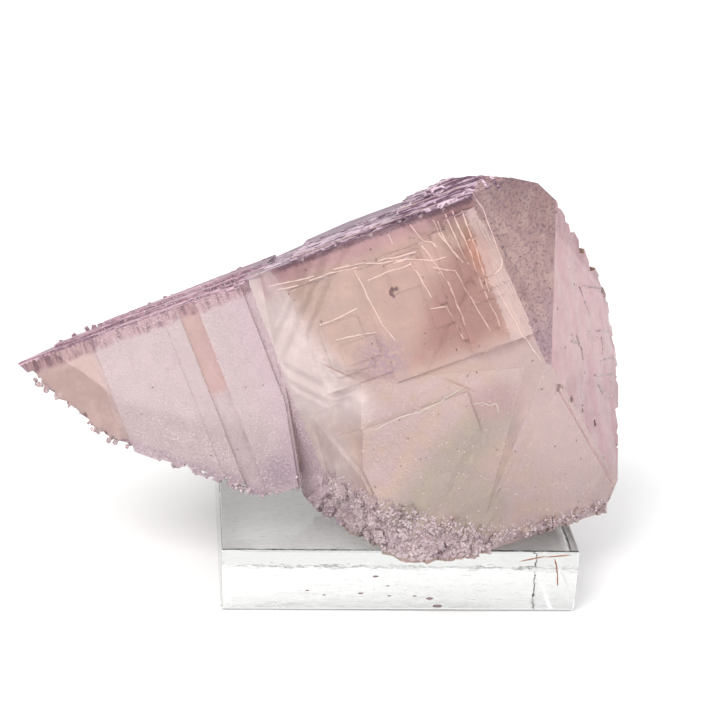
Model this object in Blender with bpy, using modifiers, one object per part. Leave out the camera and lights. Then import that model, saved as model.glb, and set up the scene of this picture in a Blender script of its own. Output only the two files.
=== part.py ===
"""A fluorite specimen on a clear acrylic base.

The crystal is a broken cube corner: a thick upper block with growth steps on its front face and a
stair of thin layers along its top, a lower block that grew on it, and a long plate that runs out to
a cleaved tip on the left. They grew together, so they are one solid, with a crust of small cubes
over the lower front and chipped edges.

A face is an outward direction in the crystal's own cube axes and its distance from the heart:
x runs along the front rim to the right, y into the crystal and z up across the front face.
Lengths are millimetres until the last step, which brings them to metres.
"""
import math
import random

import bmesh
import bpy
from mathutils import Euler, Matrix, Vector
from mathutils.bvhtree import BVHTree

MM = 0.001

# Acrylic base: a square slab on its underside, centred on the origin.
BASE_SIDE = 50.8
BASE_THICK = 9.5
BASE_EDGE = 0.35
GAP = 0.3

# Crystal: its heart in the standing frame, and how its cube axes are turned there.
HEART = Vector((0.0, -2.0, 34.0))
TURN, LEAN, ROLL = -10.0, -12.0, -24.5
REST_PLANE = BASE_THICK + GAP

# Upper block.
FRONT = 17.7
TOP = 15.8
BEVEL = ((0.805, -0.589, 0.057), 25.9)
RIGHT = ((0.93, -0.331, -0.158), 26.2)
UPPER = {
    "front": ((0, -1, 0), FRONT),
    "top": ((0, 0, 1), TOP),
    "bevel": BEVEL,
    "right": RIGHT,
    "right_foot": ((0.543, -0.692, -0.476), 27.6),
    "right_back": ((0.815, 0.543, -0.2), 31.3),
    "cleavage_back_right": ((1, 1, -1), 32.0),
    "cleavage_back_top": ((1, 1, 1), 19.8),
    "crest": ((0.35, 0.26, 0.9), 19.9),
    "left_facet": ((-0.387, -0.914, -0.124), 18.7),
    "left": ((-0.979, 0, 0.204), 16.1),
    "cleavage_back_left": ((-1, 1, 1), 17.9),
    "back": ((0, 1, 0), 12.0),
    "cleavage_under": ((-1, 1, -1), 16.0),
}

# Stair of thin layers along the top of the upper block: each is set back and starts further right.
STAIR_RISE = 0.5
STAIR_TREAD = 0.8
STAIR_STARTS = (-8.5, 7.3, 7.8, 9.8, 12.2, 14.2, 15.8)
STAIR_INSET = 0.11

# Growth steps on the upper front face: left, right, bottom and top walls and how proud each is.
# A step with no right wall runs out to the bevel.
GROWTH_STEPS = (
    (-10.2, None, -3.2, 12.2, 0.25),
    (-8.1, -2.4, -1.6, 5.9, 0.42),
    (-6.2, -1.1, -0.4, 2.5, 0.58),
    (-0.4, None, -4.9, 11.6, 0.47),
    (3.7, 8.2, 6.8, 11.0, 0.63),
    (7.4, None, 0.4, 10.2, 0.76),
    (9.0, None, 3.2, 12.4, 0.9),
    (10.2, 14.6, -2.4, 7.8, 1.04),
    (11.1, None, -4.8, 12.9, 1.14),
    (13.3, None, 1.8, 14.3, 1.34),
    (14.6, None, 3.2, 14.0, 1.52),
    (15.5, None, 4.9, 10.6, 1.75),
)
# Each thin layer is drawn in from the other faces by its own amount, so no two walls coincide.
LAYER_INSET, LAYER_INSET_STEP = 0.3, 0.04
LAYER_REACH, LAYER_REACH_STEP = 0.4, -0.05
LAYER_LEFT = 2.0
LAYER_DEPTH, LAYER_DEPTH_STEP = 1.2, -0.05
LAYER_ROOT = 10.0

# Cleavage steps on the broken back: the face each lies on, how proud it is, and the wall it ends at.
CLEAVAGE_STEPS = (
    ("back", 0.35, (-1, 1, 1), 8.0),
    ("back", 0.6, (1, 1, 1), 12.0),
    ("back", 1.1, (1, 1, -1), 13.0),
    ("cleavage_under", 0.5, (1, 1, 1), 3.0),
    ("cleavage_under", 0.9, (-1, 1, 1), 4.0),
    ("cleavage_back_left", 0.4, (1, 1, -1), 2.0),
    ("cleavage_back_right", 0.5, (1, 1, 1), 15.0),
    ("cleavage_back_right", 0.8, (-1, 1, -1), -4.0),
)
CLEAVAGE_INSET, CLEAVAGE_INSET_STEP = 0.9, 0.07

# Lower block, proud of the upper one below its front face, and a second layer on it.
LOWER = {
    "front": ((0.038, -1, 0.14), 16.9),
    "slope": ((0.352, -0.904, -0.24), 24.1),
    "right_foot": ((0.543, -0.692, -0.476), 27.9),
    "left_facet": ((-0.49, -0.82, 0.30), 16.1),
    "crust_left": ((-0.8, -0.59, 0), 19.4),
    "left": ((-0.979, 0, 0.204), 15.9),
    "roof": ((0.27, 0, 1), -4.2),
    "right": ((0.93, -0.331, -0.158), 25.7),
    "cleavage_back_right": ((1, 1, -1), 31.0),
    "back": ((0, 1, 0), 8.0),
    "cleavage_under": ((-1, 1, -1), 15.6),
}
SECOND_LAYER = 0.45
SECOND_LAYER_INSET = 0.35
SECOND_LAYER_LEFT = 0.25
SECOND_LAYER_RIGHT = 8.3
SECOND_LAYER_TOP = -9.4

# Plate to the left, with frosted panels proud of its smooth bands.
PLATE_FRONT = 13.6
PLATE = {
    "front": ((0, -1, 0), PLATE_FRONT),
    "top": ((0, 0, 1), 15.4),
    "right": ((0.979, 0, -0.204), -15.6),
    "tip": ((-0.769, 0.5, -0.398), 26.4),
    "belly": ((-0.555, 0.5, -0.664), 16.8),
    "root": ((0, 0.45, -0.89), 7.3),
    "back": ((-0.28, 1, 0), 5.5),
}
PANELS = ((-39.8, -29.0, 0.5), (-29.2, -26.6, 0.38), (-23.8, -16.9, 0.5))
PLATE_STAIR_RISE = 0.4
PLATE_STAIR_TREAD = 3.0
PLATE_STAIR_STARTS = (-46.0, -39.0)
PLATE_STAIR_INSET = 0.23
PANEL_INSET, PANEL_INSET_STEP = 0.2, 0.06

# Lines that the small cubes of the crust and the chips follow, as points in the cube axes:
# the rim of the plate from its tip to its root, its crest, and the edges of the right face.
PLATE_RIM = ((-50.6, -13.4, 14.0), (-47.0, -13.4, 7.4), (-43.5, -13.4, 1.1), (-36.7, -13.4, -4.9),
             (-24.2, -13.4, -15.0), (-19.6, -13.4, -15.0))
PLATE_CREST = ((-48.0, -7.7, 15.8), (-36.0, -4.4, 16.1), (-18.0, 0.6, 16.1))
FRONT_RIM = ((-12.0, -17.6, 15.8), (17.0, -17.6, 15.8))
RIGHT_EDGE = ((28.3, -4.5, 11.5), (30.4, 9.5, -6.0), (28.4, 9.0, -18.0), (24.3, 4.0, -28.6))
FOOT_EDGE = ((19.8, -18.2, -11.0), (24.0, 3.0, -28.6))

# Chips and small cubes along those lines: how many, their sizes, and how far they stray.
CHIPS = (
    (PLATE_RIM, 44, (0.6, 1.6), 0.3),
    (PLATE_CREST, 14, (0.7, 1.5), 0.4),
    (FRONT_RIM, 7, (0.4, 0.8), 0.2),
    (RIGHT_EDGE, 18, (1.0, 2.4), 0.5),
    (FOOT_EDGE, 5, (0.6, 1.2), 0.3),
)
RIM_GRAINS = (
    (PLATE_RIM, 60, (0.25, 0.6), 0.15),
    (PLATE_CREST, 30, (0.3, 0.6), 0.2),
)
CHIP_SEED = 6
STREWN_TURN = 0.6

# Crust over the lower front: its reach across and how high it climbs, in the standing frame.
CRUST_LEFT, CRUST_RIGHT = -12.0, 13.0
CRUST_HIGH = 17.4
CRUST_GRAINS = 120
CRUST_SIZES = (0.8, 1.9)
CRUST_THIN = 0.35
CRUST_SETTLING = 1.3
CRUST_SUNK = (0.12, 0.3)
# Small cubes along the foot of the right facet.
FOOT_LEFT, FOOT_RIGHT = 12.0, 34.0
FOOT_LOW, FOOT_HIGH = 0.2, 1.8
FOOT_FRONT = -16.0
FOOT_GRAINS = 32
FOOT_SIZES = (0.6, 1.2)
FOOT_FACING = (-0.6, 0.8, 0.0)
CRUST_SEED = 13
OUTSIDE = 90.0


def crystal_axes():
    """The turn from the crystal's cube axes to the standing frame."""
    turn = Matrix.Rotation(math.radians(TURN), 4, "Z")
    lean = Matrix.Rotation(math.radians(LEAN), 4, "X")
    roll = Matrix.Rotation(math.radians(ROLL), 4, "Y")
    return Matrix.Translation(HEART) @ turn @ lean @ roll


def block(faces):
    """A convex crystal: a large cube cut by one plane for each face."""
    shape = bmesh.new()
    bmesh.ops.create_cube(shape, size=2 * OUTSIDE)
    for direction, distance in faces:
        length = Vector(direction).length
        normal = Vector(direction) / length
        whole = shape.verts[:] + shape.edges[:] + shape.faces[:]
        cut = bmesh.ops.bisect_plane(
            shape, geom=whole, plane_co=normal * distance, plane_no=normal, clear_outer=True
        )
        rim = [item for item in cut["geom_cut"] if isinstance(item, bmesh.types.BMEdge)]
        if rim:
            bmesh.ops.contextual_create(shape, geom=rim)
    bmesh.ops.recalc_face_normals(shape, faces=shape.faces)
    return shape


def layer_faces(faces, inset, **proud):
    """The faces of a thin layer: all drawn in by the inset, but for those that stand proud."""
    return [
        (direction, distance + proud.get(name, -inset))
        for name, (direction, distance) in faces.items()
    ]


def between(left=None, right=None, low=None, high=None):
    """Walls of a layer, square to the cube axes."""
    walls = []
    if left is not None:
        walls.append(((-1, 0, 0), -left))
    if right is not None:
        walls.append(((1, 0, 0), right))
    if low is not None:
        walls.append(((0, 0, -1), -low))
    if high is not None:
        walls.append(((0, 0, 1), high))
    return walls


def as_object(name, shape, collection):
    mesh = bpy.data.meshes.new(name)
    shape.to_mesh(mesh)
    shape.free()
    thing = bpy.data.objects.new(name, mesh)
    collection.objects.link(thing)
    return thing


def collection_named(name, parent):
    made = bpy.data.collections.new(name)
    parent.children.link(made)
    return made


def gathered(shapes):
    """Several shapes in one mesh."""
    whole = bmesh.new()
    for shape in shapes:
        mesh = bpy.data.meshes.new("piece")
        shape.to_mesh(mesh)
        shape.free()
        whole.from_mesh(mesh)
        bpy.data.meshes.remove(mesh)
    return whole


def combine(thing, shapes, operation, collection):
    """Joins the shapes to the object, or cuts them from it."""
    tool = as_object("cutter", gathered(shapes), collection)
    tool.hide_render = True
    tool.display_type = "WIRE"
    boolean = thing.modifiers.new(operation.title(), "BOOLEAN")
    boolean.operation = operation
    boolean.solver = "EXACT"
    boolean.use_self = True
    boolean.object = tool
    graph = bpy.context.evaluated_depsgraph_get()
    mesh = bpy.data.meshes.new_from_object(thing.evaluated_get(graph))
    thing.modifiers.clear()
    thing.data = mesh
    bpy.data.objects.remove(tool)


def skins_of(shape):
    """The separate skins of a mesh, as lists of the faces that meet at edges."""
    found = []
    seen = set()
    for first in shape.faces:
        if first in seen:
            continue
        seen.add(first)
        skin, waiting = [], [first]
        while waiting:
            face = waiting.pop()
            skin.append(face)
            for other in (near for edge in face.edges for near in edge.link_faces):
                if other not in seen:
                    seen.add(other)
                    waiting.append(other)
        found.append(skin)
    return found


def keep_outer_skin(thing):
    """Drops loose flakes and the skins of pockets that the crust closed over."""
    shape = bmesh.new()
    shape.from_mesh(thing.data)
    skins = sorted(skins_of(shape), key=len)
    for skin in skins[:-1]:
        bmesh.ops.delete(shape, geom=skin, context="FACES")
    shape.to_mesh(thing.data)
    shape.free()


def stair(faces, starts, rise, tread, inset):
    """Thin layers on a top face, each set back from the one below and starting at its own place."""
    layers = []
    for n, start in enumerate(starts, start=1):
        layer = layer_faces(faces, inset * n, top=rise * n, front=-tread * n)
        layers.append(block(layer + between(left=start, low=LAYER_ROOT)))
    return layers


def growth_steps():
    """Low square-cornered steps on the upper front face."""
    layers = []
    for n, (left, right, low, high, proud) in enumerate(GROWTH_STEPS, start=1):
        layer = layer_faces(
            UPPER, LAYER_INSET + LAYER_INSET_STEP * n, front=proud,
            bevel=LAYER_REACH + LAYER_REACH_STEP * n, left_facet=LAYER_LEFT
        )
        walls = between(left=left, right=right, low=low, high=high)
        walls.append(((0, 1, 0), LAYER_DEPTH + LAYER_DEPTH_STEP * n - FRONT))
        layers.append(block(layer + walls))
    return layers


def panels():
    """Frosted panels on the plate."""
    made = []
    for n, (left, right, proud) in enumerate(PANELS, start=1):
        layer = layer_faces(PLATE, PANEL_INSET + PANEL_INSET_STEP * n, front=proud)
        walls = between(left=left, right=right)
        walls.append(((0, 1, 0), LAYER_DEPTH + LAYER_DEPTH_STEP * n - PLATE_FRONT))
        made.append(block(layer + walls))
    return made


def cleavage_steps():
    """Low steps on the broken back, each ending along another cleavage direction."""
    made = []
    for n, (face, proud, direction, distance) in enumerate(CLEAVAGE_STEPS, start=1):
        layer = layer_faces(UPPER, CLEAVAGE_INSET + CLEAVAGE_INSET_STEP * n, **{face: proud})
        made.append(block(layer + [(direction, distance)]))
    return made


def second_layer():
    """The layer on the lower front, with its upper edge across it."""
    layer = layer_faces(LOWER, SECOND_LAYER_INSET, front=SECOND_LAYER, left_facet=SECOND_LAYER_LEFT)
    return block(layer + between(right=SECOND_LAYER_RIGHT, high=SECOND_LAYER_TOP))


def small_cube(centre, size, turn):
    """One small cube, for the crust or to chip an edge."""
    shape = bmesh.new()
    bmesh.ops.create_cube(shape, size=size)
    bmesh.ops.rotate(shape, verts=shape.verts, matrix=turn.to_matrix())
    bmesh.ops.translate(shape, verts=shape.verts, vec=centre)
    return shape


def along(points, share):
    """The point at a share of the way along a line of points."""
    corners = [Vector(point) for point in points]
    lengths = [(b - a).length for a, b in zip(corners, corners[1:])]
    left = share * sum(lengths)
    for start, end, length in zip(corners, corners[1:], lengths):
        if left <= length:
            return start.lerp(end, left / length)
        left -= length
    return corners[-1]


def any_turn(draw, reach):
    return Euler([draw.uniform(-reach, reach) for _ in range(3)])


def strewn(draw, points, count, sizes, spread):
    """Small cubes strewn along a line."""
    grains = []
    for n in range(count):
        place = along(points, (n + draw.random()) / count)
        place += Vector([draw.uniform(-spread, spread) for _ in range(3)])
        grains.append(small_cube(place, draw.uniform(*sizes), any_turn(draw, STREWN_TURN)))
    return grains


def crust_grains(draw, surface):
    """Small cubes sunk in the lower front, closest together at its foot."""
    grains = []
    while len(grains) < CRUST_GRAINS:
        across = draw.uniform(CRUST_LEFT, CRUST_RIGHT)
        reach = 1 - max(0.0, across) / CRUST_RIGHT
        high = (CRUST_HIGH - REST_PLANE) * (CRUST_THIN + (1 - CRUST_THIN) * reach)
        height = REST_PLANE + high * draw.random() ** CRUST_SETTLING
        hit = surface.ray_cast(Vector((across, -OUTSIDE, height)), Vector((0, 1, 0)))[0]
        if hit is None:
            continue
        size = draw.uniform(*CRUST_SIZES)
        sunk = Vector((0, size * draw.uniform(*CRUST_SUNK), 0))
        grains.append(small_cube(hit + sunk, size, any_turn(draw, math.pi)))
    return grains


def foot_grains(draw, surface):
    """Small cubes along the foot of the right facet."""
    grains = []
    facing = Vector(FOOT_FACING)
    while len(grains) < FOOT_GRAINS:
        across = draw.uniform(FOOT_LEFT, FOOT_RIGHT)
        height = REST_PLANE + draw.uniform(FOOT_LOW, FOOT_HIGH)
        start = Vector((across, FOOT_FRONT, height)) - facing * OUTSIDE
        hit = surface.ray_cast(start, facing)[0]
        if hit is not None:
            grains.append(small_cube(hit, draw.uniform(*FOOT_SIZES), any_turn(draw, math.pi)))
    return grains


def surface_of(thing):
    shape = bmesh.new()
    shape.from_mesh(thing.data)
    tree = BVHTree.FromBMesh(shape)
    shape.free()
    return tree


def below_rest_plane():
    shape = bmesh.new()
    bmesh.ops.create_cube(shape, size=2 * OUTSIDE)
    bmesh.ops.translate(shape, verts=shape.verts, vec=(0, 0, REST_PLANE - OUTSIDE))
    return shape


def material(name, colour, roughness, ior, transmission):
    made = bpy.data.materials.new(name)
    made.use_nodes = True
    shader = made.node_tree.nodes["Principled BSDF"]
    shader.inputs["Base Color"].default_value = (*colour, 1.0)
    shader.inputs["Roughness"].default_value = roughness
    shader.inputs["Metallic"].default_value = 0.0
    shader.inputs["IOR"].default_value = ior
    shader.inputs["Transmission Weight"].default_value = transmission
    return made


def make_fluorite(parts, tools):
    crystal = as_object("fluorite", block(UPPER.values()), parts)
    layers = [block(PLATE.values()), block(LOWER.values())]
    layers += stair(UPPER, STAIR_STARTS, STAIR_RISE, STAIR_TREAD, STAIR_INSET)
    layers += stair(PLATE, PLATE_STAIR_STARTS, PLATE_STAIR_RISE, PLATE_STAIR_TREAD, PLATE_STAIR_INSET)
    layers += growth_steps() + panels() + cleavage_steps() + [second_layer()]
    for layer in layers:
        combine(crystal, [layer], "UNION", tools)

    draw = random.Random(CHIP_SEED)
    chips = [chip for line in CHIPS for chip in strewn(draw, *line)]
    combine(crystal, chips, "DIFFERENCE", tools)
    grains = [grain for line in RIM_GRAINS for grain in strewn(draw, *line)]
    standing = crystal_axes()
    crystal.data.transform(standing)
    for shape in grains:
        bmesh.ops.transform(shape, matrix=standing, verts=shape.verts)

    draw = random.Random(CRUST_SEED)
    surface = surface_of(crystal)
    grains += crust_grains(draw, surface) + foot_grains(draw, surface)
    combine(crystal, grains, "UNION", tools)
    combine(crystal, [below_rest_plane()], "DIFFERENCE", tools)
    keep_outer_skin(crystal)
    crystal.data.transform(Matrix.Scale(MM, 4))
    crystal.data.materials.clear()
    crystal.data.materials.append(material("fluorite_crystal", (0.80, 0.68, 0.66), 0.22, 1.434, 0.6))


def make_base(parts):
    slab = bmesh.new()
    bmesh.ops.create_cube(slab, size=1)
    bmesh.ops.scale(slab, verts=slab.verts, vec=(BASE_SIDE * MM, BASE_SIDE * MM, BASE_THICK * MM))
    bmesh.ops.translate(slab, verts=slab.verts, vec=(0, 0, BASE_THICK * MM / 2))
    base = as_object("acrylic_base", slab, parts)
    edge = base.modifiers.new("Edges", "BEVEL")
    edge.width = BASE_EDGE * MM
    edge.segments = 2
    base.data.materials.append(material("clear_acrylic", (0.95, 0.96, 0.94), 0.03, 1.49, 1.0))


def main():
    for old in list(bpy.data.objects):
        bpy.data.objects.remove(old)
    parts = collection_named("fluorite_specimen", bpy.context.scene.collection)
    tools = collection_named("cutters", bpy.context.scene.collection)
    tools.hide_render = True
    make_fluorite(parts, tools)
    make_base(parts)


main()
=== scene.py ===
"""The looks of a fluorite specimen on its clear acrylic base.

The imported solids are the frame. The crystal's solid is copied and refined: its flat faces get
hillocks and grain, and each small face knows which face of the crystal it is on, so the material
can give it its own finish.

Places on the crystal are in its own cube axes, in millimetres from its heart: x runs along the
front rim to the right, y into the crystal and z up across the front face.
"""

import math
import random

import bmesh
import bpy
import numpy as np
from mathutils import Matrix, Vector, noise
from mathutils.bvhtree import BVHTree


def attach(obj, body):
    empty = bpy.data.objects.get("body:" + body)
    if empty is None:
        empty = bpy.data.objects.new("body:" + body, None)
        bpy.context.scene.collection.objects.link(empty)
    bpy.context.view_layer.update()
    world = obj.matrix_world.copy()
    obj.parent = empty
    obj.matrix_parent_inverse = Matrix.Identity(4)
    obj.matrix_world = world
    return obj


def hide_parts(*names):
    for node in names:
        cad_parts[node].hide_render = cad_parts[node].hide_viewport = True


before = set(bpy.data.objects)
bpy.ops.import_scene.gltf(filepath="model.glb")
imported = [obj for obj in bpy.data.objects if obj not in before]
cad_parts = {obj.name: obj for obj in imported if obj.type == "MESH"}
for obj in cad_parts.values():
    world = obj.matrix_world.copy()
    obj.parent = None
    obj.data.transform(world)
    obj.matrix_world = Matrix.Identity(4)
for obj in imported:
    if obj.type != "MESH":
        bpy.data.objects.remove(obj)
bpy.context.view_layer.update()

bl_info = {
    "name": "Fluorite specimen",
    "version": (1, 0, 0),
    "blender": (4, 5, 0),
    "location": "View3D > Sidebar > Fluorite",
    "description": "Dresses the fluorite crystal and its acrylic base",
    "category": "Object",
}

MM = 0.001
BODY = "root"
WHITE = (1, 1, 1)
FLUORITE_IOR, ACRYLIC_IOR = 1.434, 1.49

# How the crystal's cube axes stand in the frame.
HEART = Vector((0, -2, 34)) * MM
TURN, LEAN, ROLL = -10, -12, -24.5

# The crystal's faces: outward direction in the cube axes and distance from the heart.
FACES = {
    "upper_front": ((0, -1, 0), 17.7),
    "lower_front": ((0.038, -1, 0.14), 16.9),
    "slope": ((0.352, -0.904, -0.24), 24.1),
    "bevel": ((0.805, -0.589, 0.057), 25.9),
    "right": ((0.93, -0.331, -0.158), 26.2),
    "right_foot": ((0.543, -0.692, -0.476), 27.6),
}
# How well a small face must match one of these: its direction's cosine and its distance.
SAME_DIRECTION = 0.996
FACE_SLACK = 2.2
# Small stairs at the front right corner: right of the first number and before the second.
STAIRS = (16.6, -17.9)
# Where the plate ends at its right, and how far back its front lies at least.
PLATE_RIGHT, PLATE_BACK = -15.7, -15.2
# Height from which everything is top: on the plate, on the rest, and on faces that look up.
PLATE_TOP, RIM_TOP, TOP_FACE = 15, 15.9, 9
# How far a face must look to the front, upwards or to the back to be plate, top or back.
PLATE_FACING, TOP_FACING, BACK_FACING = -0.6, 0.6, 0.3
# Walls of the steps lie right of the first number, before the second and above the third.
WALLS = (-13, -16.4, -6)
KINDS = ("upper_front", "lower", "plate", "top", "bevel", "right", "back", "riser")

# Bright growth lines on the upper front: the x and z of each corner in turn.
GROWTH_LINES = (
    (-12.4, 13.7, -8, 13.1, -6, 12.9), (-6.9, 12.5, -3.8, 12.5, 0, 12),
    (-3.2, 12.9, 0.6, 12.3, 3.9, 11.3, 6.4, 11), (5, 10.9, 6.7, 10.9, 10.1, 9.4, 12.1, 9.2),
    (-11.6, 12.9, -8.6, 12.5), (3, 11.8, 6, 11.5, 8.4, 11.3), (5.6, 14.9, 5.8, 13.3),
    (12, 14.6, 12.5, 12, 13.6, 8.6), (13.9, 14.8, 14.2, 11.2, 14.7, 7.2),
    (0.8, 9.8, 3.4, 10, 7.3, 9.9), (8.8, 15.1, 9.8, 12.5, 11, 11.8, 11.2, 11),
    (-0.4, 11.7, 0, 7.7, 0.5, 3.4, 1.4, 0.7), (7.2, 10.3, 7.7, 7.8, 8.2, 4.7),
    (9.5, 11.9, 10.5, 8.5, 11.2, 5.4, 11.3, -0.5), (12.6, 14.2, 12.9, 11, 14, 7.8),
    (15, 14.7, 15.5, 9.7, 15.4, 3.9, 15.8, -2.2), (16.3, 14.3, 16.4, 9.2, 16, 2.9),
    (9.9, 8.5, 12.6, 7.1, 13.3, 3, 14.2, -2.5), (7.5, 3.2, 9.8, 2.7, 10.1, -0.1, 10.5, -2.9),
    (-7.7, 6.2, -4.7, 6.3, -2, 6.7), (-6.4, 3.6, -3.6, 3.2, -0.7, 2.6),
    (11.5, -4.9, 13, -5, 14.8, -4.8),
    (18.2, 16.8, 18.9, 13.6, 19, 9.9, 19, 5.9, 18.6, 5.2),
    (18.6, 5.2, 16.2, 4.3, 17.1, 3.1, 17.6, 0, 18.2, -4.4, 19.3, -8.9),
    (8, -11.3, 9.7, -11.5, 10.6, -12.4, 11.6, -12.3, 11.3, -13.7),
    (-5.3, -10, -1.7, -9.6, 0.9, -9.8, 4.3, -9.5, 8.3, -8.7),
)
# Where the plate is smooth: left of the first place, and between the two ends of the band.
TIP_END = -39.3
BAND = (-26.6, -23.8)
# Edges of the thin layers along the top: height and where each starts and ends.
RIM_LINES = ((16.3, -8.3, 17.4), (17.3, 8, 17.2), (18.3, 12.4, 17))
# Small ledges near the outer edge of the right face, seen from the front.
NICKS = (
    (27.2, -3.2, 27.2, -5.4, 27.1, -8), (27.7, -3.5, 28.8, -4.6, 29.9, -5.8),
    (27.2, -10.7, 28.2, -11.6, 29.1, -12.5), (23.7, -9.2, 24.4, -10.1, 24.7, -11.6),
    (27.6, -12, 27.3, -13.5, 26.7, -14.7), (24.5, -8.9, 24.6, -10.8, 24.3, -12.9),
    (26.3, -14.9, 27.3, -15.6, 28.1, -16.2), (24.9, -16.1, 26.1, -17.4, 27.4, -18.4),
    (24.9, -17.8, 25.1, -19.7, 26.1, -20.9),
)
# Ridges are drawn in short steps, lie partly in the face and wander a little off their lines.
LINE_STEP, LINE_SUNK, LINE_WANDER = 0.4, 0.2, 0.14
WANDER_SCALE, WANDER_APART = 0.6, Vector((0, 0, 9))
# The thinnest share of a ridge's width.
LINE_UNEVENNESS, LEDGE_UNEVENNESS = 0.6, 0.45
# Ledges over the top: how many, where they start and how long they are, how far back they lie and
# how they crowd to the front, how much they slant and stray, and how low they may run.
LEDGES = 70
LEDGE_STARTS, LEDGE_REACH = (-46, 14), (5, 18)
LEDGE_FRONT, LEDGE_BACK, LEDGE_CROWDING = -17, 3, 1.3
LEDGE_SLANT, LEDGE_WANDER = 0.03, 0.8
LEDGE_LOWEST = 14.8
LEDGE_SEED = 11
# Dark cracks: ends and width.
SLASHES = (((-10.4, 2.1), (-5, -3.2), 0.22), ((4.9, -5.7), (10.2, -10.6), 0.25))
# The one large inclusion, on the front.
INCLUSION = (3.7, 7)
INCLUSION_SIZE, INCLUSION_KNOBS, INCLUSION_SEED = 1.3, 5, 4
# Marks on the front of the base, in the frame's millimetres: specks as (x, z, width), and the two
# ends of each scratch.
BASE_SPECKS = (
    (-3.6, 5.4, 0.9), (-1.8, 3.9, 0.5), (-5.6, 2.7, 0.8), (-10.8, 2.4, 0.5), (-1.5, 2.3, 0.6),
    (2.1, 2.3, 0.6), (4.3, 1.9, 1.1), (5.5, 0.7, 1.5), (-13.2, 3.1, 0.6))
BASE_SCRATCHES = (
    (21.8, 8.4, 22.3, 6.9), (22.1, 7.3, 22.5, 5.6), (22.4, 6, 22.6, 4),
    (20.4, 8.6, 24.2, 9), (16.8, 7.9, 20.6, 8.8))
SCRATCH_WIDTH, MARK_DEPTH = 0.22, 0.12
# How high the crust climbs across the front, in the frame's millimetres, and how it thins out.
CRUST_TOP = ((-16, 17.5), (-6, 19), (4, 17), (12, 14), (20, 12.6), (34, 12.4))
CRUST_FADE, CRUST_FOOT = 4.5, 10.4

# The mesh: how often edges are halved, and how much finer the faces that look to the front are.
REFINING_PASSES = 6
FRONT_FACING, FRONT_SHARE = -0.4, 0.55
# The relief: how close together broad hillocks, small ones and grain are, in turns per
# millimetre, and how much grain smooth faces have.
HILLOCK_SCALE, KNOLL_SCALE, GRAIN_SCALE, SMOOTH_SHARE = 0.22, 0.6, 1.4, 0.3
# How close corners are to be the same corner.
MERGE_DISTANCE = 0.002 * MM
# Angles in degrees: what counts as flat in the solid and in the fine mesh, and as a sharp edge.
SOLID_FLAT, MESH_FLAT, SHARP = 0.4, 3, 14
# Further out than any face, where rays start.
OUTSIDE = 60

# The studio: the floor's depth under the base, its reach, rise, bend and half width, in metres.
FLOOR_DROP = 0.2 * MM
FLOOR_REACH, FLOOR_RISE, FLOOR_BEND, FLOOR_SIDE = 1.6, 1.4, 0.5, 2.5
BEND_STEPS = 12
# Where the lamps look.
LIT_PLACE = Vector((0, 0, 0.03))
# Azimuth, elevation and roll, in degrees.
CAMERA_PLACE = Vector((-35.1, -300.2, 150)) * MM
CAMERA_ANGLES = (-5.75, 22, 3)
CAMERA_LENS = 109.75


def turned(degrees, axis):
    return Matrix.Rotation(math.radians(degrees), 4, axis)


def cube_axes():
    """The turn from the crystal's cube axes, in metres, to the frame."""
    return Matrix.Translation(HEART) @ turned(TURN, "Z") @ turned(LEAN, "X") @ turned(ROLL, "Y")


# ---------------- settings

def colour(name, description, default):
    return bpy.props.FloatVectorProperty(
        name=name, description=description, default=default, size=3, min=0, max=1, subtype="COLOR")


def amount(name, description, default, **more):
    return bpy.props.FloatProperty(
        name=name, description=description, default=default, min=0, **more)


def length(name, description, millimetres):
    return amount(name, description, millimetres * MM, unit="LENGTH", precision=5)


class CrystalLook(bpy.types.PropertyGroup):
    """Sizes and colours of the crystal"""
    mesh_size: length("Mesh size", "Longest edge of the refined mesh", 1.5)
    hillock_height: length("Hillock height", "Height of the growth hillocks on smooth faces", 0.1)
    frost_height: length("Frost height", "Height of the grain on frosted faces", 0.05)
    peach: colour("Peach", "Warm colour of the upper front", (0.6, 0.385, 0.32))
    beige: colour("Beige", "Beige of the clear body", (0.55, 0.415, 0.35))
    pale: colour("Pale", "Pale pinkish body", (0.6, 0.46, 0.445))
    brown: colour("Brown", "Brownish inner zone of the upper front", (0.35, 0.18, 0.15))
    orange: colour("Orange", "Orange patches", (0.54, 0.26, 0.18))
    rose: colour("Rose", "Rose zone under the top rim", (0.49, 0.28, 0.31))
    pink: colour("Pink", "Pink of the right face", (0.59, 0.335, 0.365))
    green: colour("Green", "Grey-green of the lower zones", (0.36, 0.35, 0.27))
    # Glare is painted highlight: white laid into the colour where the lamps' light would shine
    # back.
    glare: colour("Glare", "White of bright edges and the left facet", (0.86, 0.75, 0.74))
    frost: colour("Frost", "Grey-white of the frosted panels", (0.59, 0.48, 0.485))
    band: colour("Band", "Smooth band of the plate", (0.63, 0.41, 0.38))
    tip: colour("Tip", "Smooth tip of the plate", (0.68, 0.49, 0.45))
    lavender: colour("Lavender", "Palest layers of the top", (0.62, 0.47, 0.55))
    lilac: colour("Lilac", "Cool clouds in the body", (0.38, 0.27, 0.35))
    purple: colour("Purple", "Darkest purple of the zoned layers", (0.12, 0.063, 0.1))
    taupe: colour("Taupe", "Grey-brown of the bevel", (0.4, 0.25, 0.23))
    absorption: colour("Absorption", "Colour left in light that crosses it", (0.9, 0.7, 0.72))
    density: amount("Density", "Absorption per metre", 30)


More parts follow.
